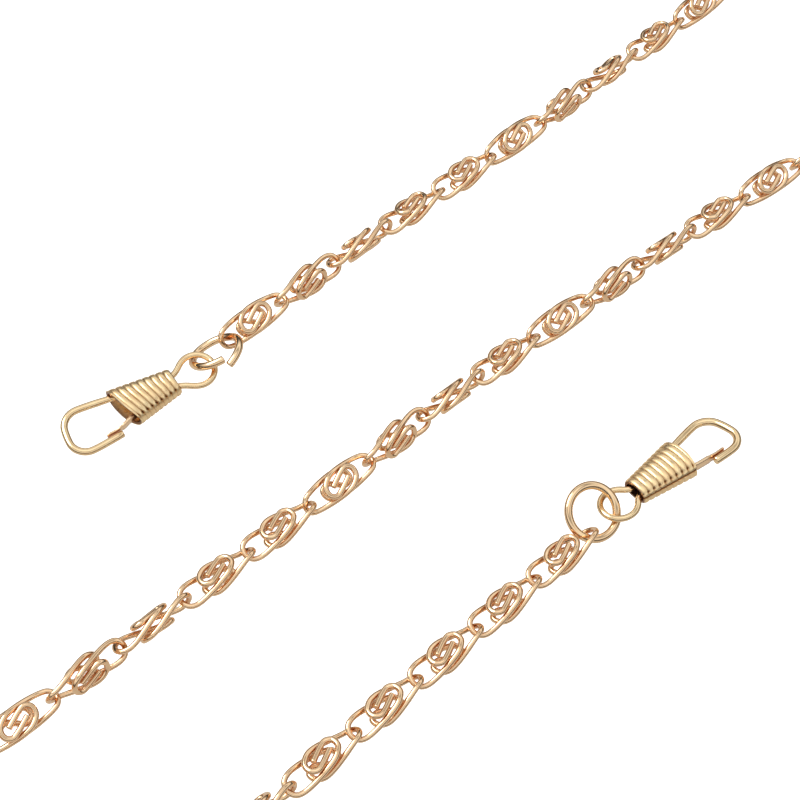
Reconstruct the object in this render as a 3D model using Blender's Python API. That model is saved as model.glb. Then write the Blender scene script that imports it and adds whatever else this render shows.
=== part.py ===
"""Pocket watch chain: 44 scroll links, two jump rings and two spring-gate clasps.

The chain lies flat in three runs joined by two turns. Each link is one bent wire with an
eye at both ends, and every eye is threaded through its neighbour's. Sizes and places below
are in millimetres and degrees; MM turns them into Blender's metres. Z is up, the middle run
lies along X, and the origin is on the floor under the middle of the whole layout.
"""

import math

import bmesh
import bpy
from mathutils import Matrix, Vector

MM = 0.001

# Where the origin is in the layout measured below: the middle of its extents, on the floor.
LAYOUT_ORIGIN = (7.387, 0.986, -0.033)

# Scroll link: centre-line of its wire, X along the chain, Y across, Z through the link.
LINK_WIRE_RADIUS = 0.36
LINK_HALF_LENGTH = 5.6
LINK_HALF_WIDTH = 1.6
LINK_HALF_DEPTH = 1.0
EYE_HALF_WIDTH = 0.9
EYE_SHOULDER = 5.15
EYE_TWIST = 0.5
LINK_WIRE_SIDES = 5

# Layout of the three runs, on the chain's middle height. A run is laid in stretches: the count
# of links, the bow to one side, and where the stretch ends. Rolls turn each link about the
# chain; its eyes are the same either way up, so the scroll's front can face up or down.
CHAIN_HEIGHT = 2.06
TOP_START = (-16.4, 27.6)
TOP_STRETCHES = ((4, 0.25, (22.6, 28.3)), (6, -0.35, (83.1, 30.5)))
TOP_ROLLS = (28, 73, 118, -20, -5, 35, 88, -45, -17, 28)
MIDDLE_START = (64.6, -1.6)
MIDDLE_STRETCHES = ((3, 0.1, (34.3, 0.0)), (4, 0.2, (-4.8, 0.6)), (7, -0.5, (-75.2, -0.7)))
MIDDLE_ROLLS = (-28, 17, 62, -73, -28, 17, 62, -73, -28, 10, 15, 58, -75, -28)
BOTTOM_START = (-51.2, -28.4)
BOTTOM_STRETCHES = ((5, 0.12, (-0.8, -26.5)),)
BOTTOM_ROLLS = (-10, -13, -13, -15, -17)

# The two turns that join the runs, and how much each link there is rolled past the last.
RIGHT_TURN_LINKS = 8
RIGHT_TURN_ROLL = 54
LEFT_TURN_LINKS = 7
LEFT_TURN_ROLL = 47
TURN_PITCH = 10.05

# Jump rings.
RING_RADIUS = 3.4
RING_WIRE_RADIUS = 0.55
RING_CUT = 0.3
RING_LEAN_SHARE = 0.3
RING_STEPS = 24
RING_WIRE_SIDES = 6

# Clasp sleeve: X from the narrow end to the mouth, Y towards the gate, Z through it.
# Its sections are flattened ovals: (half width, half thickness) at each end.
SLEEVE_LENGTH = 8.0
SLEEVE_NARROW = (1.85, 1.3)
SLEEVE_MOUTH = (3.1, 1.8)
SLEEVE_WALL = 0.3
SLEEVE_SQUARENESS = 2.2
SLEEVE_SIDES = 16
SLEEVE_RIBS = 10
RIB_HEIGHT = 0.13
MOUTH_BULGE = 0.4

# Clasp wire: hook, two legs in the sleeve, and the eye.
CLASP_WIRE_RADIUS = 0.43
CLASP_WIRE_SIDES = 6
HOOK_TIP_SIDE = 3.3
HOOK_CORNERS = ((16.7, 3.5, 2.3), (15.5, -3.3, 2.6))
HOOK_AT_MOUTH = (8.0, -2.05)
LEG_AT_NARROW = (0.0, 0.9)
EYE_RADIUS = 2.4
SHORT_LEG_END = (3.0, 1.25)
EYE_STEPS = 12

# Clasp gate: (x, y) of the tongue in the mouth and beside the hook's tip, and its pivot.
GATE_HALF_THICKNESS = 0.2
GATE_HALF_HEIGHT = 0.8
TAB_HALF_HEIGHT = 0.4
GATE_PIVOT = (6.4, 1.55)
GATE_ROOT = ((6.1, 1.5), (7.6, 1.85), (8.8, 2.3))
GATE_TAB_SIDE = 2.36

# Where the rings and clasps lie: centre, heading, roll about their own X, then pitch.
RING_A_CENTRE = (-18.9, 26.55, 2.55)
RING_A_TURNS = (0.0, -33.0, -3.0)
RING_A_CUT_AT = -98.0
RING_A_LEANS = (-1.2, 0.0)
RING_B_CENTRE = (1.0, -24.9, 2.95)
RING_B_TURNS = (0.0, 34.0, -1.5)
RING_B_CUT_AT = -60.0
RING_B_LEANS = (-0.15, 0.15)
CLASP_A_CENTRE = (-26.0, 26.2, 2.6)
CLASP_A_TURNS = (172.5, -7.0)
CLASP_B_CENTRE = (7.3, -26.1, 2.4)
CLASP_B_TURNS = (-2.0, 170.0)

# The clasps are bent by hand, so they differ: the hook tip's X, the gate tab's X, and how
# far the eye reaches.
CLASP_A_BENDS = (9.6, 11.8, 5.7)
CLASP_B_BENDS = (11.0, 13.4, 5.1)

ROOT = "link_25"


def metal(name, colour, roughness):
    """A plated metal with its own colour and polish."""
    material = bpy.data.materials.new(name)
    material.use_nodes = True
    shader = material.node_tree.nodes["Principled BSDF"]
    shader.inputs["Base Color"].default_value = (*colour, 1.0)
    shader.inputs["Metallic"].default_value = 1.0
    shader.inputs["Roughness"].default_value = roughness
    return material


def finish_mesh(name, bm, material):
    """The mesh of one closed body, faces outward and smooth over its round parts."""
    bmesh.ops.recalc_face_normals(bm, faces=bm.faces)
    mesh = bpy.data.meshes.new(name)
    bm.to_mesh(mesh)
    bm.free()
    mesh.materials.append(material)
    mesh.shade_smooth()
    mesh.set_sharp_from_angle(angle=math.radians(75))
    return mesh


def bridge(bm, first, second):
    """Faces between two rings of vertices with the same count."""
    count = len(first)
    for k in range(count):
        after = (k + 1) % count
        bm.faces.new((first[k], first[after], second[after], second[k]))


def loft(name, sections, material, hollow=False):
    """A body through a row of sections; a hollow one joins its last section to its first."""
    bm = bmesh.new()
    rings = [[bm.verts.new(point * MM) for point in section] for section in sections]
    for first, second in zip(rings, rings[1:]):
        bridge(bm, first, second)
    if hollow:
        bridge(bm, rings[-1], rings[0])
    else:
        bm.faces.new(rings[0])
        bm.faces.new(rings[-1])
    return finish_mesh(name, bm, material)


def wire_sections(centre_line, radius, sides):
    """Round sections square to a centre-line, carried along it without twisting."""
    sections = []
    across = Vector((0, 0, 1))
    last = len(centre_line) - 1
    for i, point in enumerate(centre_line):
        tangent = (centre_line[min(i + 1, last)] - centre_line[max(i - 1, 0)]).normalized()
        across = (across - tangent * across.dot(tangent)).normalized()
        beside = tangent.cross(across)
        section = []
        for k in range(sides):
            angle = math.tau * k / sides
            section.append(point + radius * (math.cos(angle) * across + math.sin(angle) * beside))
        sections.append(section)
    return sections


def link_centre_line():
    """Half of the wire runs from the middle of the back to a tail; the rest mirrors it."""
    w = LINK_HALF_WIDTH
    h = LINK_HALF_DEPTH
    twist = EYE_TWIST * h
    half = [
        (0, 0, -h), (1.0, -0.75, -h), (2.05, -0.35, -h), (2.0, 0.7, -h), (1.2, 1.38, -0.97 * h),
        (0, w, -0.68 * h), (-4.0, 1.32, 0.62 * h), (-EYE_SHOULDER, EYE_HALF_WIDTH, twist),
        (-LINK_HALF_LENGTH, 0, 0), (-EYE_SHOULDER, -EYE_HALF_WIDTH, -twist),
        (-4.0, -1.32, -0.62 * h), (0, -w, 0.68 * h), (1.3, -1.25, 0.97 * h), (2.25, -0.4, h),
        (2.3, 0.65, h), (1.6, 1.2, h), (0.7, 0.97, h), (-0.3, 0.52, h), (-1.35, 0, h),
    ]
    front = [Vector(point) for point in half]
    back = [Vector((-p.x, -p.y, p.z)) for p in front[1:]]
    return front[::-1] + back


def eye_axis(end):
    """Direction of a link's wire at the end of its eye; end is -1 or 1 along X."""
    return Vector((0, EYE_HALF_WIDTH, -end * EYE_TWIST * LINK_HALF_DEPTH)).normalized()


def ring_centre_line(cut_at, leans):
    """One turn of wire, cut open at an angle, each end leaning sideways by its own amount."""
    half_cut = RING_CUT / 2 / RING_RADIUS
    start = math.radians(cut_at) + half_cut
    sweep = math.tau - 2 * half_cut
    points = []
    for i in range(RING_STEPS + 1):
        share = i / RING_STEPS
        angle = start + sweep * share
        near_ends = [max(0.0, 1 - way / RING_LEAN_SHARE) ** 2 for way in (share, 1 - share)]
        side = sum(lean * near for lean, near in zip(leans, near_ends))
        points.append(Vector((RING_RADIUS * math.cos(angle), RING_RADIUS * math.sin(angle),
                              side)))
    return points


def arc_points(before, corner, after, radius, steps):
    """A corner rounded by an arc that touches both of its legs."""
    into = (corner - before).normalized()
    out = (after - corner).normalized()
    turn = into.angle(out)
    reach = radius * math.tan(turn / 2)
    start = corner - into * reach
    normal = into.cross(out).normalized()
    centre = start + normal.cross(into) * radius
    arm = start - centre
    return [centre + Matrix.Rotation(turn * i / steps, 3, normal) @ arm for i in range(steps + 1)]


def clasp_wire_centre_line(tip_x, eye_reach):
    """From the hook's tip, round the hook, through the sleeve, round the eye and back in."""
    tip = Vector((tip_x, HOOK_TIP_SIDE, 0))
    corners = [Vector((x, y, 0)) for x, y, _ in HOOK_CORNERS]
    mouth = Vector((*HOOK_AT_MOUTH, 0))
    legs = [tip, *corners, mouth]
    points = [tip]
    for i, (_, _, radius) in enumerate(HOOK_CORNERS):
        points += arc_points(legs[i], legs[i + 1], legs[i + 2], radius, 5)
    points.append(mouth)
    leg_x, leg_y = LEG_AT_NARROW
    points.append(Vector((leg_x, -leg_y, 0)))
    eye_x = EYE_RADIUS - eye_reach
    reach = math.hypot(leg_x - eye_x, leg_y)
    touch = math.acos(EYE_RADIUS / reach) + math.atan2(leg_y, leg_x - eye_x)
    for i in range(EYE_STEPS + 1):
        angle = -touch - (math.tau - 2 * touch) * i / EYE_STEPS
        points.append(Vector((eye_x + EYE_RADIUS * math.cos(angle),
                              EYE_RADIUS * math.sin(angle), 0)))
    points.append(Vector((leg_x, leg_y, 0)))
    points.append(Vector((*SHORT_LEG_END, 0)))
    return points


def signed_power(value, power):
    return math.copysign(abs(value) ** power, value)


def sleeve_section(x, half_width, half_thickness, bulge):
    """A flattened oval square to X; the bulge pushes the middle of its faces along X."""
    points = []
    for k in range(SLEEVE_SIDES):
        angle = math.tau * k / SLEEVE_SIDES
        y = half_width * signed_power(math.cos(angle), 2 / SLEEVE_SQUARENESS)
        z = half_thickness * signed_power(math.sin(angle), 2 / SLEEVE_SQUARENESS)
        points.append(Vector((x + bulge * (1 - (y / half_width) ** 2), y, z)))
    return points


def sleeve_mesh(name, material):
    """The ribbed, tapering sleeve, open at both ends."""
    sections = []
    steps = 2 * SLEEVE_RIBS
    for i in range(steps + 1):
        share = i / steps
        rib = RIB_HEIGHT * (i % 2)
        half_width = SLEEVE_NARROW[0] + (SLEEVE_MOUTH[0] - SLEEVE_NARROW[0]) * share
        half_thickness = SLEEVE_NARROW[1] + (SLEEVE_MOUTH[1] - SLEEVE_NARROW[1]) * share + rib
        sections.append(sleeve_section(SLEEVE_LENGTH * share, half_width, half_thickness,
                                       MOUTH_BULGE * share))
    for x, (half_width, half_thickness), bulge in (
            (SLEEVE_LENGTH, SLEEVE_MOUTH, MOUTH_BULGE), (0.0, SLEEVE_NARROW, 0.0)):
        sections.append(sleeve_section(x, half_width - SLEEVE_WALL,
                                       half_thickness - SLEEVE_WALL, bulge))
    return loft(name, sections, material, hollow=True)


def gate_mesh(name, tab_x, tip_x, material):
    """The gate's tongue: a wide strip with a thin tab that lies inside the hook's tip."""
    shoulder = (tip_x + 0.5, GATE_TAB_SIDE)
    tongue = [(*point, GATE_HALF_HEIGHT) for point in (*GATE_ROOT, shoulder)]
    tongue += [(shoulder[0] + 0.3, GATE_TAB_SIDE, TAB_HALF_HEIGHT),
               (tab_x, GATE_TAB_SIDE, TAB_HALF_HEIGHT)]
    sections = []
    for x, y, half_height in tongue:
        corners = ((-1, -1), (1, -1), (1, 1), (-1, 1))
        sections.append([Vector((x, y + a * GATE_HALF_THICKNESS, b * half_height))
                         for a, b in corners])
    return loft(name, sections, material)


def frame(centre, heading, roll=0.0, pitch=0.0):
    """A place in millimetres: heading about Z, then pitch about Y, then roll about X."""
    turns = (Matrix.Rotation(math.radians(heading), 4, "Z")
             @ Matrix.Rotation(math.radians(pitch), 4, "Y")
             @ Matrix.Rotation(math.radians(roll), 4, "X"))
    return Matrix.Translation(Vector(centre) - Vector(LAYOUT_ORIGIN)) @ turns


def run_joints(start, stretches):
    """Joints along a run, evenly spaced in each of its stretches."""
    joints = [start]
    for count, bow, (end_x, end_y) in stretches:
        start_x, start_y = joints[-1]
        for k in range(1, count + 1):
            share = k / count
            joints.append((start_x + (end_x - start_x) * share,
                           start_y + (end_y - start_y) * share + 4 * bow * share * (1 - share)))
    return joints


def turn_joints(start, end, count, side):
    """Joints inside a turn: a lead, a half circle on one side, and a lead back."""
    radius = abs(start[1] - end[1]) / 2
    centre_y = (start[1] + end[1]) / 2
    leads = count * TURN_PITCH - math.pi * radius
    centre_x = ((start[0] + end[0]) * side + leads) / 2 * side
    lead_in = (centre_x - start[0]) * side
    joints = []
    for k in range(1, count):
        along = k * TURN_PITCH
        if along < lead_in:
            joints.append((start[0] + side * along, start[1]))
        elif along < lead_in + math.pi * radius:
            angle = (along - lead_in) / radius
            joints.append((centre_x + side * radius * math.sin(angle),
                           centre_y + radius * math.cos(angle)))
        else:
            back = along - lead_in - math.pi * radius
            joints.append((centre_x - side * back, end[1]))
    return joints


def turn_rolls(before, step, count):
    """Rolls inside a turn, in even steps on from the run before."""
    return [before + step * (k + 1) for k in range(count)]


def link_frames():
    """The place of every link, from the upper run to the lower one."""
    top = run_joints(TOP_START, TOP_STRETCHES)
    middle = run_joints(MIDDLE_START, MIDDLE_STRETCHES)
    bottom = run_joints(BOTTOM_START, BOTTOM_STRETCHES)
    joints = [*top, *turn_joints(top[-1], middle[0], RIGHT_TURN_LINKS, 1),
              *middle, *turn_joints(middle[-1], bottom[0], LEFT_TURN_LINKS, -1), *bottom]
    rolls = [*TOP_ROLLS,
             *turn_rolls(TOP_ROLLS[-1], RIGHT_TURN_ROLL, RIGHT_TURN_LINKS),
             *MIDDLE_ROLLS,
             *turn_rolls(MIDDLE_ROLLS[-1], LEFT_TURN_ROLL, LEFT_TURN_LINKS),
             *BOTTOM_ROLLS]
    frames = []
    for (x0, y0), (x1, y1), roll in zip(joints, joints[1:], rolls):
        heading = math.degrees(math.atan2(y1 - y0, x1 - x0))
        centre = ((x0 + x1) / 2, (y0 + y1) / 2, CHAIN_HEIGHT)
        frames.append(frame(centre, heading, roll))
    return frames


def wire_axis(place, point, direction):
    """A wire's middle and direction where another wire hangs on it, in the whole layout."""
    return place @ Vector(point), (place.to_3x3() @ Vector(direction)).normalized()


def flatter(first, second):
    """Of two crossing wires, the one that lies nearer to level: the chain folds about it."""
    return first if abs(first[1].z) <= abs(second[1].z) else second


def ring_wire_axis(place, towards):
    """The ring's wire at its side nearest to a point."""
    local = place.inverted() @ towards
    local.z = 0
    arm = local.normalized()
    return wire_axis(place, arm * RING_RADIUS, (-arm.y, arm.x, 0))


def place_empty(name, point, axis):
    """An empty on a hinge, its Z along the hinge's axis."""
    empty = bpy.data.objects.new(name, None)
    empty.empty_display_size = 2 * MM
    turn = axis.to_track_quat("Z", "Y").to_matrix().to_4x4()
    empty.matrix_world = Matrix.Translation(point * MM) @ turn
    bpy.context.collection.objects.link(empty)
    return empty


def place_piece(name, mesh, place, hinge=None):
    """An object at its place, carried by the empty of its hinge if it moves."""
    piece = bpy.data.objects.new(name, mesh)
    bpy.context.collection.objects.link(piece)
    world = Matrix.Translation(place.translation * MM) @ place.to_3x3().to_4x4()
    if hinge is None:
        piece.matrix_world = world
    else:
        piece.parent = hinge
        piece.matrix_basis = hinge.matrix_world.inverted() @ world
    return piece


def link_name(index):
    return f"link_{index + 1:02d}"


def hinges(places):
    """Point and axis of each hinge, named after the body that swings on it."""
    count = sum(1 for name in places if name.startswith("link_"))
    root = int(ROOT.split("_")[1]) - 1
    found = {}
    for i in range(count - 1):
        left = places[link_name(i)]
        right = places[link_name(i + 1)]
        first = wire_axis(left, (LINK_HALF_LENGTH, 0, 0), eye_axis(1))
        second = wire_axis(right, (-LINK_HALF_LENGTH, 0, 0), eye_axis(-1))
        child = link_name(i) if i < root else link_name(i + 1)
        found[child] = flatter(first, second)
    ends = (("a", link_name(0), -1, CLASP_A_BENDS[2]),
            ("b", link_name(count - 1), 1, CLASP_B_BENDS[2]))
    for letter, link, end, eye_reach in ends:
        ring = places[f"jump_ring_{letter}"]
        clasp = places[f"clasp_{letter}"]
        link_wire = wire_axis(places[link], (end * LINK_HALF_LENGTH, 0, 0), eye_axis(end))
        found[f"jump_ring_{letter}"] = flatter(link_wire, ring_wire_axis(ring, link_wire[0]))
        eye_centre = clasp @ Vector((EYE_RADIUS - eye_reach, 0, 0))
        found[f"clasp_{letter}"] = ring_wire_axis(ring, eye_centre)
        found[f"clasp_{letter}_gate"] = wire_axis(clasp, (*GATE_PIVOT, 0), (0, 0, 1))
    return found


def all_places():
    """The place of every link, ring and clasp, in millimetres."""
    places = {link_name(i): place for i, place in enumerate(link_frames())}
    places["jump_ring_a"] = frame(RING_A_CENTRE, *RING_A_TURNS)
    places["jump_ring_b"] = frame(RING_B_CENTRE, *RING_B_TURNS)
    places["clasp_a"] = frame(CLASP_A_CENTRE, *CLASP_A_TURNS)
    places["clasp_b"] = frame(CLASP_B_CENTRE, *CLASP_B_TURNS)
    return places


def build():
    """The whole chain, every moving piece carried by an empty on its hinge."""
    for leftover in list(bpy.data.objects):
        bpy.data.objects.remove(leftover, do_unlink=True)
    link_metal = metal("link_gold", (0.83, 0.55, 0.30), 0.2)
    ring_metal = metal("ring_gold", (0.86, 0.62, 0.36), 0.18)
    wire_metal = metal("clasp_wire_gold", (0.84, 0.62, 0.34), 0.2)
    sleeve_metal = metal("sleeve_gold", (0.80, 0.62, 0.32), 0.32)
    gate_metal = metal("gate_gold", (0.78, 0.58, 0.32), 0.28)
    places = all_places()
    empties = {name: place_empty(f"hinge_{name}", point, axis)
               for name, (point, axis) in hinges(places).items()}

    link_mesh = loft("link", wire_sections(link_centre_line(), LINK_WIRE_RADIUS,
                                           LINK_WIRE_SIDES), link_metal)
    for name, place in places.items():
        if name.startswith("link_"):
            place_piece(name, link_mesh, place, empties.get(name))
    for letter, cut in (("a", (RING_A_CUT_AT, RING_A_LEANS)),
                        ("b", (RING_B_CUT_AT, RING_B_LEANS))):
        name = f"jump_ring_{letter}"
        sections = wire_sections(ring_centre_line(*cut), RING_WIRE_RADIUS, RING_WIRE_SIDES)
        place_piece(name, loft(name, sections, ring_metal), places[name], empties[name])

    sleeve = sleeve_mesh("clasp_sleeve", sleeve_metal)
    for letter, (tip_x, tab_x, eye_reach) in (("a", CLASP_A_BENDS), ("b", CLASP_B_BENDS)):
        clasp = f"clasp_{letter}"
        sections = wire_sections(clasp_wire_centre_line(tip_x, eye_reach), CLASP_WIRE_RADIUS,
                                 CLASP_WIRE_SIDES)
        wire = loft(f"{clasp}_wire", sections, wire_metal)
        gate = gate_mesh(f"{clasp}_gate", tab_x, tip_x, gate_metal)
        place_piece(f"{clasp}_sleeve", sleeve, places[clasp], empties[clasp])
        place_piece(f"{clasp}_wire", wire, places[clasp], empties[clasp])
        place_piece(f"{clasp}_gate", gate, places[clasp], empties[f"{clasp}_gate"])


build()
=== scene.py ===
"""Looks of a pocket watch chain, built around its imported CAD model.

Every CAD piece is replaced by a finely swept or lofted one in the same place: the scroll
links, the jump rings, and the clasps' ribbed sleeves, bent wires and gates. Each piece rides
on the body of the CAD node it stands for. Lengths below are in millimetres unless a comment
says otherwise, MM turns them into metres, and angles are in degrees.
"""

import math

import bmesh
import bpy
import numpy as np
from mathutils import Matrix, Vector


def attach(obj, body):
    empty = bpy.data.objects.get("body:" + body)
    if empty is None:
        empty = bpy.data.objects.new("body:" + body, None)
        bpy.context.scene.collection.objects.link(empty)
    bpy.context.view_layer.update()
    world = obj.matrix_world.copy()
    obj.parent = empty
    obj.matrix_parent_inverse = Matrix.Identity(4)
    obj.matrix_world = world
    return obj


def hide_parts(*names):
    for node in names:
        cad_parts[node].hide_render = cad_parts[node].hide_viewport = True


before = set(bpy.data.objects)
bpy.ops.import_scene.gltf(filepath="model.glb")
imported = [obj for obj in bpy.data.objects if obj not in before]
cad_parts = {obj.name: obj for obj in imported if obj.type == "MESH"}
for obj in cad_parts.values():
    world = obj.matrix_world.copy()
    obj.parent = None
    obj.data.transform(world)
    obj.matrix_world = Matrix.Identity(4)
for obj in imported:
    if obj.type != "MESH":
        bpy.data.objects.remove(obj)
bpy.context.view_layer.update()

MM = 0.001

# The CAD model's own shapes, used to find where each node lies.
LINK_WIRE_RADIUS = 0.36
LINK_WIRE_SIDES = 5
RING_RADIUS = 3.4
RING_WIRE_RADIUS = 0.55
RING_WIRE_SIDES = 6
RING_CUT = 0.3
RING_STEPS = 24
RING_LEAN_SHARE = 0.3
# For each ring: the angle of its cut, and how far each end leans sideways.
RINGS = {"a": (-98.0, (-1.2, 0.0)), "b": (-60.0, (-0.15, 0.15))}
CLASP_WIRE_RADIUS = 0.43
CLASP_WIRE_SIDES = 6
CLASP_ARC_STEPS = 5
CLASP_EYE_STEPS = 12
# For each clasp: how far out the hook's tip and the gate's tab end, and the eye's reach.
CLASPS = {"a": (9.6, 11.8, 5.7), "b": (11.0, 13.4, 5.1)}
HOOK_TIP_SIDE = 3.3
HOOK_CORNERS = ((16.7, 3.5, 2.3), (15.5, -3.3, 2.6))
HOOK_AT_MOUTH = (8.0, -2.05)
LEG_AT_NARROW = (0.0, 0.9)
EYE_RADIUS = 2.4
SHORT_LEG_END = (3.0, 1.25)
SLEEVE_LENGTH = 8.0
SLEEVE_NARROW = (1.85, 1.3)
SLEEVE_MOUTH = (3.1, 1.8)
SLEEVE_SQUARENESS = 2.2
MOUTH_BULGE = 0.4
GATE_ROOT = ((6.1, 1.5), (7.6, 1.85), (8.8, 2.3))

# The visible wires.
WIRE_SIDES_SHOWN = 16
RING_SIDES_SHOWN = 20
RING_STEPS_SHOWN = 120
LINK_CURVE_STEPS = 7
CLASP_CURVE_STEPS = 5
LINK_SHOWN_RADIUS = 0.385
LINK_SHOWN_EYE_SHARE = 0.935
LINK_WORN_FROM, LINK_WORN_OVER = 2.5, 0.7
RING_SHOWN_RADIUS = 0.55
RING_SHOWN_CUT = 0.2
RING_SHOWN_CUT_AT = {"a": -98.0, "b": -47.0}
EYE_SHOWN_RADIUS = 0.43
HOOK_SHOWN_SWELL = {"a": 1.17, "b": 1.26}
HOOK_SWELL_OVER = 2.0
# Eased wire ends: distances from the end in wire radii, and the share of the radius there.
END_INSETS = (0.0, 0.06, 0.18)
END_SIZES = [0.62, 0.84, 0.96]
# Edges that turn by more than this stay sharp.
SHARP_TURN = 50

# The visible sleeve. Widths along it are shares of a rib.
SLEEVE_RIBS = 9
SLEEVE_AROUND = 96
SLEEVE_STEPS_PER_RIB = 12
SLEEVE_WALL = 0.32
SLEEVE_LIP = 0.25
LIP_SHARES = (0.3, 0.7, 0.92, 1.0)
RIM_INSET = 0.1
BOW_AT_NARROW = 0.35
MOUTH_SLANTS = {"a": (-0.3, -0.9), "b": (0.0, 0.0)}
RIB_STAND = 0.09
RIB_CROWN = 0.045
GROOVE_WIDTH = 0.12
# Painted shade in the grooves, as a share of the way to the dark tone.
GROOVE_DARK = 0.5
PLAIN_EDGE_SPREAD = 24
PLAIN_EDGE_SHARE = 0.7
DIMPLE_AT, DIMPLE_SPREAD = 36, 5.5
DIMPLE_WIDTH = 0.2
DIMPLE_DEPTH = 0.2
SEAM_AT, SEAM_SPREAD = -13, 3.2
SEAM_DEPTH = 0.3
INNER_STEPS = 12
INNER_LIT_STEPS = 5
# Painted shade round the mouth and narrow rims and inside the sleeve; almost none over a lit
# band just inside the mouth.
MOUTH_RIM_DARK, NARROW_RIM_DARK, INNER_DARK, INNER_LIT_DARK = 0.85, 0.9, 0.8, 0.06

# The visible gate: half its thickness at root and tab, where its tab lies, half its heights.
GATE_SHOWN_HALVES = (0.22, 0.14)
GATE_SHOWN_TAB_SIDE = 2.58
GATE_ROOT_HEIGHT, GATE_SHOULDER_HEIGHT = 0.62, 0.62
GATE_TAB_HEIGHTS = (0.5, 0.46)
# Its shoulder and neck lie this far past the hook's tip; it thins a little before the tip.
GATE_SHOULDER_AT, GATE_NECK_AT, GATE_THINS_AT = 0.1, 0.7, -0.4
GATE_SHOULDER_SIDE = 2.54
GATE_TAB_END_INSET = 0.2
GATE_STEPS = 8
GATE_EDGE_EASE = 0.07
GATE_END_SHRINK = 0.8
# Painted shade on one face of the tab, past the hook's tip.
GATE_TAB_DARK = 0.75

# Colours: each metal's open tone and its deep tone, painted in as shade where the surface is
# sheltered and also in random dull patches, and its roughness; painted shade in the recesses.
METALS = {
    "rose_gold_wire": ((1.0, 0.725, 0.45), (0.60, 0.24, 0.09), 0.13),
    "gold_ring_wire": ((1.0, 0.745, 0.46), (0.62, 0.28, 0.11), 0.12),
    "gold_clasp_wire": ((1.0, 0.775, 0.46), (0.62, 0.30, 0.12), 0.16),
    "satin_gold_sleeve": ((1.0, 0.79, 0.46), (0.80, 0.34, 0.09), 0.3),
    "gold_gate_strip": ((1.0, 0.75, 0.48), (0.60, 0.26, 0.12), 0.2),
}
# The colour of painted shade in the grooves, dimples and seam, inside the sleeve, round its
# rims and on one face of the gate's tab.
PAINTED_SHADE_TONE = (0.13, 0.028, 0.012)
# Painted shade: the deep tone is mixed in where ambient occlusion within this reach finds the
# surface sheltered.
SHELTER_REACH = 1.1
SHELTER_SAMPLES = 6
SHELTER_RANGE = (0.15, 0.85)
SCATTER = 7.0
# Noise scales and details: soft patches, worn polish, fine scratches and drawing marks.
PATCHES, WEAR, SCRATCHES, DRAWING = (520.0, 3.0), (1400.0, 4.0), (900.0, 6.0), (315.0, 2.0)
PATCH_RANGE, MOTTLE_DEPTH = (0.3, 0.7), 0.24
WEAR_RANGE, POLISH_SPREAD = (0.3, 0.75), (0.75, 1.45)
SCRATCH_SHARE = 0.35
BUMP_STRENGTH, BUMP_DEPTH = 0.35, 0.02

# The surroundings. The floor lies well below the chain, so that no part of it swings
# through. Heights there and the lamp's place are in metres.
FLOOR_HEIGHT = -0.2
FLOOR_SIZE = 2.0
FLOOR_COLOUR = (0.9, 0.9, 0.895, 1.0)
FLOOR_REFLECTED = (0.36, 0.34, 0.32, 1.0)
FLOOR_ROUGHNESS, FLOOR_SHEEN = 0.9, 0.1
SKY_LIGHT = (1.45, 1.45, 1.45, 1.0)
SKY_REFLECTED = ((0.0, 0.04), (0.22, 0.07), (0.42, 0.74), (0.6, 1.1), (0.8, 0.32),
                 (0.9, 0.95), (1.0, 1.25))
LAMP_AT = (-0.25, 0.45, 0.6)
LAMP_SIZE = (0.5, 0.35)
LAMP_POWER = 3.0
CAMERA_AT = (-113.5, -111.15, 216.18)
CAMERA_HEADING = (0.6595, 0.7517)
CAMERA_DOWN = 54.5
CAMERA_HALF_VIEW = 0.2


# ---------------------------------------------------------------- centre-lines of the CAD

def link_points():
    """The scroll link's wire: eyes at both ends, an S on its back, two scrolls in front."""
    half = [
        (0, 0, -1.0), (1.0, -0.75, -1.0), (2.05, -0.35, -1.0), (2.0, 0.7, -1.0),
        (1.2, 1.38, -0.97), (0, 1.6, -0.68), (-4.0, 1.32, 0.62), (-5.15, 0.9, 0.5),
        (-5.6, 0, 0), (-5.15, -0.9, -0.5), (-4.0, -1.32, -0.62), (0, -1.6, 0.68),
        (1.3, -1.25, 0.97), (2.25, -0.4, 1.0), (2.3, 0.65, 1.0), (1.6, 1.2, 1.0),
        (0.7, 0.97, 1.0), (-0.3, 0.52, 1.0), (-1.35, 0, 1.0),
    ]
    front = [Vector(point) for point in half]
    back = [Vector((-p.x, -p.y, p.z)) for p in front[1:]]
    return front[::-1] + back


def ring_points(cut_at, leans, steps, cut=RING_CUT):
    """One turn of wire, cut open at an angle, each end leaning sideways by its own amount."""
    half_cut = cut / 2 / RING_RADIUS
    start = math.radians(cut_at) + half_cut
    sweep = math.tau - 2 * half_cut
    points = []
    for i in range(steps + 1):
        share = i / steps
        angle = start + sweep * share
        near_ends = [max(0.0, 1 - way / RING_LEAN_SHARE) ** 2 for way in (share, 1 - share)]
        side = sum(lean * closeness for lean, closeness in zip(leans, near_ends))
        points.append(Vector((RING_RADIUS * math.cos(angle), RING_RADIUS * math.sin(angle),
                              side)))
    return points


def arc_points(before, corner, after, radius, steps):
    """A corner rounded by an arc that touches both of its legs."""
    into = (corner - before).normalized()
    out = (after - corner).normalized()
    turn = into.angle(out)
    reach = radius * math.tan(turn / 2)
    start = corner - into * reach
    normal = into.cross(out).normalized()
    centre = start + normal.cross(into) * radius
    arm = start - centre
    return [centre + Matrix.Rotation(turn * i / steps, 3, normal) @ arm
            for i in range(steps + 1)]


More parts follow.
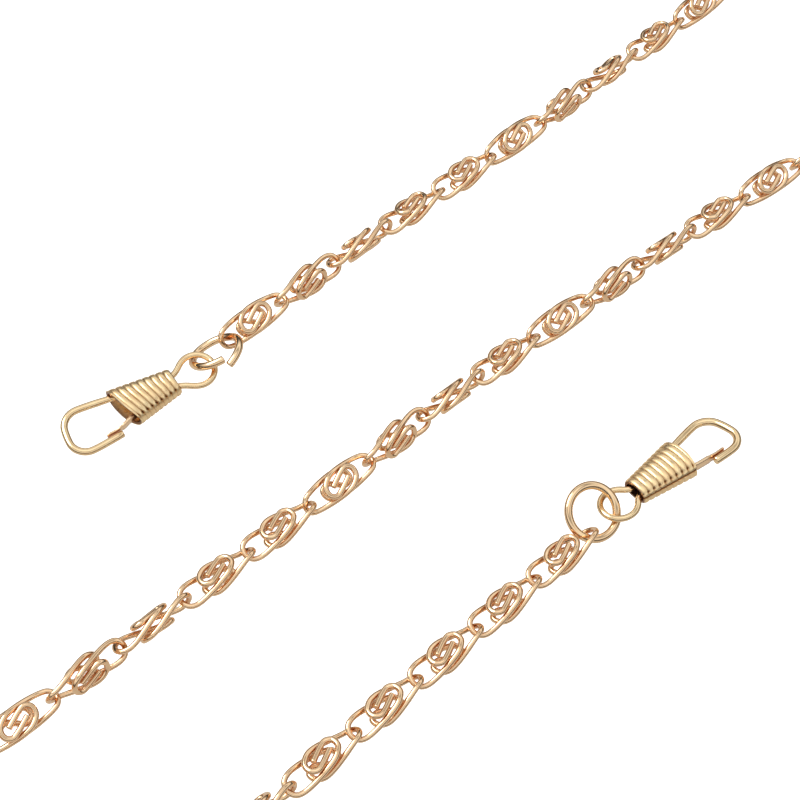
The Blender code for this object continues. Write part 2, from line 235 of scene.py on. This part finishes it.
def clasp_points(tip_x, eye_reach):
    """From the hook's tip, round the hook, through the sleeve, round the eye and back in."""
    tip = Vector((tip_x, HOOK_TIP_SIDE, 0))
    corners = [Vector((x, y, 0)) for x, y, _ in HOOK_CORNERS]
    mouth = Vector((*HOOK_AT_MOUTH, 0))
    legs = [tip, *corners, mouth]
    points = [tip]
    for i, (_, _, radius) in enumerate(HOOK_CORNERS):
        points += arc_points(legs[i], legs[i + 1], legs[i + 2], radius, CLASP_ARC_STEPS)
    points.append(mouth)
    leg_x, leg_y = LEG_AT_NARROW
    points.append(Vector((leg_x, -leg_y, 0)))
    eye_x = EYE_RADIUS - eye_reach
    reach = math.hypot(leg_x - eye_x, leg_y)
    touch = math.acos(EYE_RADIUS / reach) + math.atan2(leg_y, leg_x - eye_x)
    for i in range(CLASP_EYE_STEPS + 1):
        angle = -touch - (math.tau - 2 * touch) * i / CLASP_EYE_STEPS
        points.append(Vector((eye_x + EYE_RADIUS * math.cos(angle),
                              EYE_RADIUS * math.sin(angle), 0)))
    points.append(Vector((leg_x, leg_y, 0)))
    points.append(Vector((*SHORT_LEG_END, 0)))
    return points


# ---------------------------------------------------------------- sweeping and lofting

def sections_along(points, outline, sizes=None):
    """An outline, a list of (across, beside), carried along a line without twisting."""
    rings = []
    across = Vector((0, 0, 1))
    last = len(points) - 1
    for i, point in enumerate(points):
        tangent = (points[min(i + 1, last)] - points[max(i - 1, 0)]).normalized()
        across = (across - tangent * across.dot(tangent)).normalized()
        beside = tangent.cross(across)
        size = sizes[i] if sizes else 1.0
        rings.append([point + across * a * size + beside * b * size for a, b in outline])
    return rings


def round_outline(radius, sides):
    return [(radius * math.cos(math.tau * k / sides), radius * math.sin(math.tau * k / sides))
            for k in range(sides)]


def body_from_rings(name, rings, closed_tube=False, shade_levels=None):
    """A smooth closed mesh through rings of points given in millimetres. Shade levels hold, for
    each point, how much shade is painted onto the metal there, from 0 to 1."""
    bm = bmesh.new()
    loops = [[bm.verts.new(point * MM) for point in ring] for ring in rings]
    count = len(rings[0])
    pairs = list(zip(loops, loops[1:]))
    if closed_tube:
        pairs.append((loops[-1], loops[0]))
    for first, second in pairs:
        for k in range(count):
            after = (k + 1) % count
            bm.faces.new((first[k], first[after], second[after], second[k]))
    if not closed_tube:
        bm.faces.new(loops[0])
        bm.faces.new(loops[-1])
    bmesh.ops.recalc_face_normals(bm, faces=bm.faces)
    mesh = bpy.data.meshes.new(name)
    bm.to_mesh(mesh)
    bm.free()
    mesh.shade_smooth()
    mesh.set_sharp_from_angle(angle=math.radians(SHARP_TURN))
    # Stores each point's painted shade for the metal to darken by.
    if shade_levels:
        layer = mesh.attributes.new("painted_shade", "FLOAT", "POINT")
        layer.data.foreach_set("value", [value for ring in shade_levels for value in ring])
    return mesh


def smooth_line(points, steps):
    """A centripetal Catmull-Rom curve through the points, so tight bends stay round."""
    padded = [points[0] * 2 - points[1], *points, points[-1] * 2 - points[-2]]
    line = []
    for i in range(1, len(padded) - 2):
        p0, p1, p2, p3 = padded[i - 1:i + 3]
        t0 = 0.0
        t1 = t0 + math.sqrt((p1 - p0).length)
        t2 = t1 + math.sqrt((p2 - p1).length)
        t3 = t2 + math.sqrt((p3 - p2).length)
        for s in range(steps):
            t = t1 + (t2 - t1) * s / steps
            a1 = p0 * ((t1 - t) / (t1 - t0)) + p1 * ((t - t0) / (t1 - t0))
            a2 = p1 * ((t2 - t) / (t2 - t1)) + p2 * ((t - t1) / (t2 - t1))
            a3 = p2 * ((t3 - t) / (t3 - t2)) + p3 * ((t - t2) / (t3 - t2))
            b1 = a1 * ((t2 - t) / (t2 - t0)) + a2 * ((t - t0) / (t2 - t0))
            b2 = a2 * ((t3 - t) / (t3 - t1)) + a3 * ((t - t1) / (t3 - t1))
            line.append(b1 * ((t2 - t) / (t2 - t1)) + b2 * ((t - t1) / (t2 - t1)))
    line.append(points[-1].copy())
    return line


def with_rounded_ends(points, radius):
    """Adds close points at both ends, and gives the share of the radius at each point."""
    def near_end(end, neighbour):
        inward = (neighbour - end).normalized()
        return [end + inward * radius * inset for inset in END_INSETS]
    head = near_end(points[0], points[1])
    tail = near_end(points[-1], points[-2])
    line = head + points[1:-1] + tail[::-1]
    shares = END_SIZES + [1.0] * (len(points) - 2) + END_SIZES[::-1]
    return line, shares


def wire_mesh(name, points, radius, sides=WIRE_SIDES_SHOWN, swell=lambda point: 1.0):
    """A round wire along a line, its cut ends eased; swell makes it thicker where needed."""
    line, shares = with_rounded_ends(points, radius)
    sizes = [share * swell(point) for share, point in zip(shares, line)]
    return body_from_rings(name, sections_along(line, round_outline(radius, sides), sizes))


def ramp_between(value, start, length):
    """0 up to the start, 1 beyond start + length, straight in between."""
    return min(1.0, max(0.0, (value - start) / length))


# ---------------------------------------------------------------- where the CAD nodes lie

def spread(cloud):
    """Middle and principal directions of a cloud of points."""
    middle = cloud.mean(axis=0)
    _, directions = np.linalg.eigh((cloud - middle).T @ (cloud - middle))
    return middle, directions


def place_of(node, template):
    """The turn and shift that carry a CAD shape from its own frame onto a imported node."""
    own = np.array([point for ring in template for point in ring])
    found = np.array([v.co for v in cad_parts[node].data.vertices]) / MM
    found = np.unique(np.round(found, 5), axis=0)
    own_middle, own_axes = spread(own)
    found_middle, found_axes = spread(found)
    best = None
    for signs in ((1, 1), (1, -1), (-1, 1), (-1, -1)):
        turn = found_axes @ np.diag([*signs, 1.0]) @ own_axes.T
        if np.linalg.det(turn) < 0:
            turn = found_axes @ np.diag([*signs, -1.0]) @ own_axes.T
        moved = (own - own_middle) @ turn.T + found_middle
        gaps = np.linalg.norm(moved[:, None, :] - found[None, :, :], axis=2).min(axis=1)
        if best is None or gaps.max() < best[0]:
            best = (gaps.max(), turn, found_middle - turn @ own_middle)
    worst, turn, shift = best
    print(f"{node}: placed within {worst:.4f} mm")
    return Matrix([[*turn[i], shift[i] * MM] for i in range(3)] + [[0, 0, 0, 1]])


def add_piece(name, mesh, place, body, node, material):
    """A visible piece at its place, standing for a CAD node on that node's body."""
    piece = bpy.data.objects.new(name, mesh)
    bpy.context.scene.collection.objects.link(piece)
    piece.matrix_world = place
    if not mesh.materials:
        mesh.materials.append(material)
    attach(piece, body)
    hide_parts(node)


# ---------------------------------------------------------------- materials

def add_node(tree, kind, values=None, **settings):
    """A shader node with some of its settings and input values given."""
    node = tree.nodes.new(kind)
    for key, value in settings.items():
        setattr(node, key, value)
    for key, value in (values or {}).items():
        node.inputs[key].default_value = value
    return node


def remapped(tree, source, from_range, to_range):
    """A value carried from one range to another, and held inside it."""
    node = add_node(tree, "ShaderNodeMapRange", {
        "From Min": from_range[0], "From Max": from_range[1],
        "To Min": to_range[0], "To Max": to_range[1]})
    tree.links.new(source, node.inputs["Value"])
    return node.outputs[0]


def scattered_coordinates(tree):
    """Coordinates on the piece, shifted by chance so that no two pieces look the same."""
    coords = add_node(tree, "ShaderNodeTexCoord")
    info = add_node(tree, "ShaderNodeObjectInfo")
    scatter = add_node(tree, "ShaderNodeMath", {1: SCATTER}, operation="MULTIPLY")
    shift = add_node(tree, "ShaderNodeVectorMath", operation="ADD")
    tree.links.new(info.outputs["Random"], scatter.inputs[0])
    tree.links.new(coords.outputs["Object"], shift.inputs[0])
    tree.links.new(scatter.outputs[0], shift.inputs[1])
    return shift.outputs[0]


def metal_tone(tree, patches, light, shade_and_dull_tone):
    """Light where open; the deep tone painted in as shade where sheltered, and in a random dull
    patch; painted shade in recesses.
    """
    # Painted shade from ambient occlusion: sheltered places take the deep tone.
    shelter = add_node(tree, "ShaderNodeAmbientOcclusion", {"Distance": SHELTER_REACH * MM},
                       samples=SHELTER_SAMPLES)
    openness = remapped(tree, shelter.outputs["AO"], SHELTER_RANGE, (0.0, 1.0))
    mottle = remapped(tree, patches, PATCH_RANGE, (1.0 - MOTTLE_DEPTH, 1.0))
    share = add_node(tree, "ShaderNodeMath", operation="MULTIPLY")
    tree.links.new(openness, share.inputs[0])
    tree.links.new(mottle, share.inputs[1])
    tone = add_node(tree, "ShaderNodeMix", data_type="RGBA")
    tone.inputs["A"].default_value = (*shade_and_dull_tone, 1.0)
    tone.inputs["B"].default_value = (*light, 1.0)
    tree.links.new(share.outputs[0], tone.inputs["Factor"])
    # Painted shade, stored per point, pulls the colour towards a dark brown.
    painted_shade = add_node(tree, "ShaderNodeAttribute", attribute_name="painted_shade")
    shade_mix = add_node(tree, "ShaderNodeMix", data_type="RGBA")
    shade_mix.inputs["B"].default_value = (*PAINTED_SHADE_TONE, 1.0)
    tree.links.new(painted_shade.outputs["Fac"], shade_mix.inputs["Factor"])
    tree.links.new(tone.outputs["Result"], shade_mix.inputs["A"])
    return shade_mix.outputs["Result"]


def metal(name):
    """Plated metal: two tones mixed by soft patches and by painted shade where the surface is
    sheltered, darker still with painted shade in recesses, with uneven polish, fine drawing
    marks and tiny scratches."""
    light, shade_and_dull_tone, roughness = METALS[name]
    material = bpy.data.materials.new(name)
    material.use_nodes = True
    tree = material.node_tree
    shader = tree.nodes["Principled BSDF"]
    shader.inputs["Metallic"].default_value = 1.0
    place = scattered_coordinates(tree)

    def noise_of(scale_and_detail):
        scale, detail = scale_and_detail
        node = add_node(tree, "ShaderNodeTexNoise", {"Scale": scale, "Detail": detail})
        tree.links.new(place, node.inputs["Vector"])
        return node.outputs["Fac"]

    tone = metal_tone(tree, noise_of(PATCHES), light, shade_and_dull_tone)
    tree.links.new(tone, shader.inputs["Base Color"])
    polish = remapped(tree, noise_of(WEAR), WEAR_RANGE,
                      [roughness * share for share in POLISH_SPREAD])
    tree.links.new(polish, shader.inputs["Roughness"])

    heights = add_node(tree, "ShaderNodeMath", {1: SCRATCH_SHARE}, operation="MULTIPLY_ADD")
    tree.links.new(noise_of(SCRATCHES), heights.inputs[0])
    tree.links.new(noise_of(DRAWING), heights.inputs[2])
    bump = add_node(tree, "ShaderNodeBump", {"Strength": BUMP_STRENGTH,
                                             "Distance": BUMP_DEPTH * MM})
    tree.links.new(heights.outputs[0], bump.inputs["Height"])
    tree.links.new(bump.outputs["Normal"], shader.inputs["Normal"])
    return material


# ---------------------------------------------------------------- the clasp's sleeve and gate

def signed_power(value, power):
    return math.copysign(abs(value) ** power, value)


def hump(value, middle, width):
    """A soft hump of height 1 round the middle value."""
    return math.exp(-((value - middle) / width) ** 2)


def sleeve_relief(x, angle):
    """How far the sleeve's skin stands out at a place, and how much shade is painted in there:
    round ribs with narrow grooves, a dimple at the near end of each groove on both faces, and
    the seam where the sheet meets along the near edge; the grooves, dimples and seam get
    painted shade."""
    ribbed = SLEEVE_LENGTH - SLEEVE_LIP
    phase = (x / ribbed * SLEEVE_RIBS) % 1.0
    from_groove = min(phase, 1 - phase)
    on_ribs = 1.0 if x < ribbed else 0.0
    turn = math.degrees(angle)
    smoothed = 1 - PLAIN_EDGE_SHARE * hump(turn, 0, PLAIN_EDGE_SPREAD)
    groove = hump(from_groove, 0, GROOVE_WIDTH) * on_ribs
    dimple = hump(from_groove, 0, DIMPLE_WIDTH) * hump(abs(turn), DIMPLE_AT, DIMPLE_SPREAD)
    dimple *= on_ribs
    seam = hump(turn, SEAM_AT, SEAM_SPREAD)
    lift = RIB_STAND * (1 - groove) * smoothed
    lift += RIB_CROWN * math.sin(math.pi * phase) * on_ribs
    lift -= DIMPLE_DEPTH * dimple + SEAM_DEPTH * seam
    # Painted shade in the grooves, dimples and seam.
    dark = max(GROOVE_DARK * groove * smoothed, dimple, seam)
    return lift, min(1.0, dark)


def sleeve_ring(x, inset, slant, relief):
    """The sleeve's outline at a distance from its narrow end, and the shade painted there."""
    share = x / SLEEVE_LENGTH
    half_width, half_thick = (narrow + (mouth - narrow) * share - inset
                              for narrow, mouth in zip(SLEEVE_NARROW, SLEEVE_MOUTH))
    points, shade_levels = [], []
    for k in range(SLEEVE_AROUND):
        angle = math.tau * k / SLEEVE_AROUND - math.pi
        c, s = math.cos(angle), math.sin(angle)
        y = half_width * signed_power(c, 2 / SLEEVE_SQUARENESS)
        z = half_thick * signed_power(s, 2 / SLEEVE_SQUARENESS)
        bow = MOUTH_BULGE * (BOW_AT_NARROW + (1 - BOW_AT_NARROW) * share) * (1 - c * c)
        lean = share * (slant[0] + slant[1] * c)
        lift, dark = sleeve_relief(x, angle) if relief else (0.0, 0.0)
        outward = Vector((0, c / half_width, s / half_thick)).normalized()
        points.append(Vector((x + bow + lean, y, z)) + outward * lift)
        shade_levels.append(dark)
    return points, shade_levels


def sleeve_mesh(name, slant):
    """The tapering sleeve of ribbed sheet metal, with painted shade inside and round its rims.
    """
    steps = SLEEVE_RIBS * SLEEVE_STEPS_PER_RIB
    ribbed = SLEEVE_LENGTH - SLEEVE_LIP
    outer = [ribbed * i / steps for i in range(steps + 1)]
    outer += [ribbed + SLEEVE_LIP * share for share in LIP_SHARES]
    rings = [sleeve_ring(x, 0.0, slant, True) for x in outer]

    def add_plain(x, inset, dark):
        points, _ = sleeve_ring(x, inset, slant, False)
        rings.append((points, [dark] * SLEEVE_AROUND))
    # Painted shade on the rims and inside, lighter over a lit band just inside the mouth.
    add_plain(SLEEVE_LENGTH, RIM_INSET, MOUTH_RIM_DARK)
    for i in range(INNER_STEPS + 1):
        dark = INNER_LIT_DARK if 0 < i < INNER_LIT_STEPS else INNER_DARK
        add_plain(SLEEVE_LENGTH * (1 - i / INNER_STEPS), SLEEVE_WALL, dark)
    add_plain(0.0, RIM_INSET, NARROW_RIM_DARK)
    return body_from_rings(name, [points for points, _ in rings], closed_tube=True,
                           shade_levels=[dark for _, dark in rings])


def gate_path(tab_x, tip_x):
    """Places along the strip: how far out, how far sideways and half its height."""
    side = GATE_SHOWN_TAB_SIDE
    ends = [(*point, GATE_ROOT_HEIGHT) for point in GATE_ROOT]
    ends += [(tip_x + GATE_SHOULDER_AT, GATE_SHOULDER_SIDE, GATE_SHOULDER_HEIGHT),
             (tip_x + GATE_NECK_AT, side, GATE_TAB_HEIGHTS[0]),
             (tab_x - GATE_TAB_END_INSET, side, GATE_TAB_HEIGHTS[1])]
    path = []
    for first, last in zip(ends, ends[1:]):
        for step in range(GATE_STEPS):
            way = step / GATE_STEPS
            path.append([a + (b - a) * way for a, b in zip(first, last)])
    path.append(ends[-1])
    return path


def gate_mesh(name, tab_x, tip_x):
    """The springy strip: wide in the mouth, narrowed to a thin tab inside the hook's tip."""
    ease = GATE_EDGE_EASE
    at_root, at_tab = GATE_SHOWN_HALVES
    rings, shade_levels = [], []
    path = gate_path(tab_x, tip_x)
    for i, (x, y, height) in enumerate(path):
        half = at_root if x < tip_x + GATE_THINS_AT else at_tab
        shrink = GATE_END_SHRINK if i in (0, len(path) - 1) else 1.0
        outline = []
        for a, b in ((1, 1), (-1, 1), (-1, -1), (1, -1)):
            corner = ((half * a, (height - ease) * b), ((half - ease) * a, height * b))
            outline += corner if a * b > 0 else corner[::-1]
        rings.append([Vector((x, y + u * shrink, v * shrink)) for u, v in outline])
        # Painted shade on one face of the tab, where it lies inside the hook's tip.
        dark = GATE_TAB_DARK * (x > tip_x)
        shade_levels.append([dark if u < -half + ease / 2 else 0.0 for u, _ in outline])
    return body_from_rings(name, rings, shade_levels=shade_levels)


# ---------------------------------------------------------------- the pieces

def link_swell(point):
    """Wear has thinned the wire a little in the eyes, where the links hang in one another."""
    worn = ramp_between(abs(point.x), LINK_WORN_FROM, LINK_WORN_OVER)
    return 1 - (1 - LINK_SHOWN_EYE_SHARE) * worn


def build_links():
    material = metal("rose_gold_wire")
    template = sections_along(link_points(), round_outline(LINK_WIRE_RADIUS, LINK_WIRE_SIDES))
    line = smooth_line(link_points(), LINK_CURVE_STEPS)
    mesh = wire_mesh("link_wire", line, LINK_SHOWN_RADIUS, swell=link_swell)
    for node in sorted(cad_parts):
        if node.startswith("link_"):
            add_piece(f"{node}_scroll", mesh, place_of(node, template), node, node,
                      material)


def build_rings():
    material = metal("gold_ring_wire")
    for letter, (cut_at, leans) in RINGS.items():
        node = f"jump_ring_{letter}"
        template = sections_along(ring_points(cut_at, leans, RING_STEPS),
                                  round_outline(RING_WIRE_RADIUS, RING_WIRE_SIDES))
        line = ring_points(RING_SHOWN_CUT_AT[letter], leans, RING_STEPS_SHOWN, RING_SHOWN_CUT)
        mesh = wire_mesh(node, line, RING_SHOWN_RADIUS, RING_SIDES_SHOWN)
        add_piece(f"{node}_wire", mesh, place_of(node, template), node, node,
                  material)


def hook_swell(point, most):
    """The clasp's wire is a little thicker in the hook than in the sleeve and the eye."""
    return 1 + (most - 1) * ramp_between(point.x, HOOK_AT_MOUTH[0], HOOK_SWELL_OVER)


def build_clasps():
    wire_metal, sleeve_metal, gate_metal = (
        metal(name) for name in ("gold_clasp_wire", "satin_gold_sleeve", "gold_gate_strip"))
    for letter, (tip_x, tab_x, eye_reach) in CLASPS.items():
        body = f"clasp_{letter}"
        line = clasp_points(tip_x, eye_reach)
        template = sections_along(line, round_outline(CLASP_WIRE_RADIUS, CLASP_WIRE_SIDES))
        place = place_of(f"{body}_wire", template)
        wire = wire_mesh(f"{body}_wire", smooth_line(line, CLASP_CURVE_STEPS),
                         EYE_SHOWN_RADIUS,
                         swell=lambda point: hook_swell(point, HOOK_SHOWN_SWELL[letter]))
        sleeve = sleeve_mesh(f"{body}_sleeve", MOUTH_SLANTS[letter])
        gate = gate_mesh(f"{body}_gate", tab_x, tip_x)
        add_piece(f"{body}_hook_wire", wire, place, body, f"{body}_wire",
                  wire_metal)
        add_piece(f"{body}_ribbed_sleeve", sleeve, place, body, f"{body}_sleeve",
                  sleeve_metal)
        add_piece(f"{body}_gate_strip", gate, place, f"{body}_gate", f"{body}_gate",
                  gate_metal)


# ---------------------------------------------------------------- floor, light and camera

def build_floor():
    """A plain pale floor, darker where the metal mirrors it, so that wires keep their edges."""
    bm = bmesh.new()
    bmesh.ops.create_grid(bm, x_segments=8, y_segments=8, size=FLOOR_SIZE)
    mesh = bpy.data.meshes.new("floor")
    bm.to_mesh(mesh)
    bm.free()
    floor = bpy.data.objects.new("floor", mesh)
    bpy.context.scene.collection.objects.link(floor)
    material = bpy.data.materials.new("pale_floor")
    material.use_nodes = True
    tree = material.node_tree
    shader = tree.nodes["Principled BSDF"]
    shader.inputs["Roughness"].default_value = FLOOR_ROUGHNESS
    shader.inputs["Specular IOR Level"].default_value = FLOOR_SHEEN
    path = add_node(tree, "ShaderNodeLightPath")
    shade = add_node(tree, "ShaderNodeMix", data_type="RGBA")
    shade.inputs["A"].default_value = FLOOR_COLOUR
    shade.inputs["B"].default_value = FLOOR_REFLECTED
    tree.links.new(path.outputs["Is Glossy Ray"], shade.inputs["Factor"])
    tree.links.new(shade.outputs["Result"], shader.inputs["Base Color"])
    mesh.materials.append(material)
    floor.location.z = FLOOR_HEIGHT


def build_world():
    """A soft white tent; the metal mirrors it with darker bands low down and higher up."""
    world = bpy.data.worlds.new("studio")
    bpy.context.scene.world = world
    world.use_nodes = True
    tree = world.node_tree
    links = tree.links
    coords = add_node(tree, "ShaderNodeTexCoord")
    split = add_node(tree, "ShaderNodeSeparateXYZ")
    links.new(coords.outputs["Generated"], split.inputs[0])
    ramp = add_node(tree, "ShaderNodeValToRGB")
    elements = ramp.color_ramp.elements
    elements[0].position, elements[1].position = SKY_REFLECTED[0][0], SKY_REFLECTED[-1][0]
    for position, _ in SKY_REFLECTED[1:-1]:
        elements.new(position)
    for element, (_, value) in zip(elements, SKY_REFLECTED):
        element.color = (value, value, value, 1)
    links.new(split.outputs["Z"], ramp.inputs[0])
    path = add_node(tree, "ShaderNodeLightPath")
    pick = add_node(tree, "ShaderNodeMix", data_type="RGBA")
    pick.inputs["A"].default_value = SKY_LIGHT
    links.new(path.outputs["Is Glossy Ray"], pick.inputs["Factor"])
    links.new(ramp.outputs["Color"], pick.inputs["B"])
    background = tree.nodes["Background"]
    links.new(pick.outputs["Result"], background.inputs["Color"])
    background.inputs["Strength"].default_value = 1.0


def build_lamp():
    data = bpy.data.lights.new("key", "AREA")
    data.shape = "RECTANGLE"
    data.size, data.size_y = LAMP_SIZE
    data.energy = LAMP_POWER
    lamp = bpy.data.objects.new("key", data)
    lamp.location = LAMP_AT
    lamp.rotation_euler = (-Vector(LAMP_AT)).to_track_quat("-Z", "Y").to_euler()
    bpy.context.scene.collection.objects.link(lamp)


def build_camera():
    data = bpy.data.cameras.new("camera")
    camera = bpy.data.objects.new("camera", data)
    bpy.context.scene.collection.objects.link(camera)
    down = math.radians(CAMERA_DOWN)
    look = Vector((CAMERA_HEADING[0] * math.cos(down), CAMERA_HEADING[1] * math.cos(down),
                   -math.sin(down)))
    camera.location = Vector(CAMERA_AT) * MM
    camera.rotation_euler = look.to_track_quat("-Z", "Y").to_euler()
    data.angle = 2 * math.atan(CAMERA_HALF_VIEW)
    data.clip_start = 0.01
    bpy.context.scene.camera = camera


build_links()
build_rings()
build_clasps()
build_floor()
build_world()
build_camera()
build_lamp()
bpy.context.scene.view_settings.view_transform = "Standard"
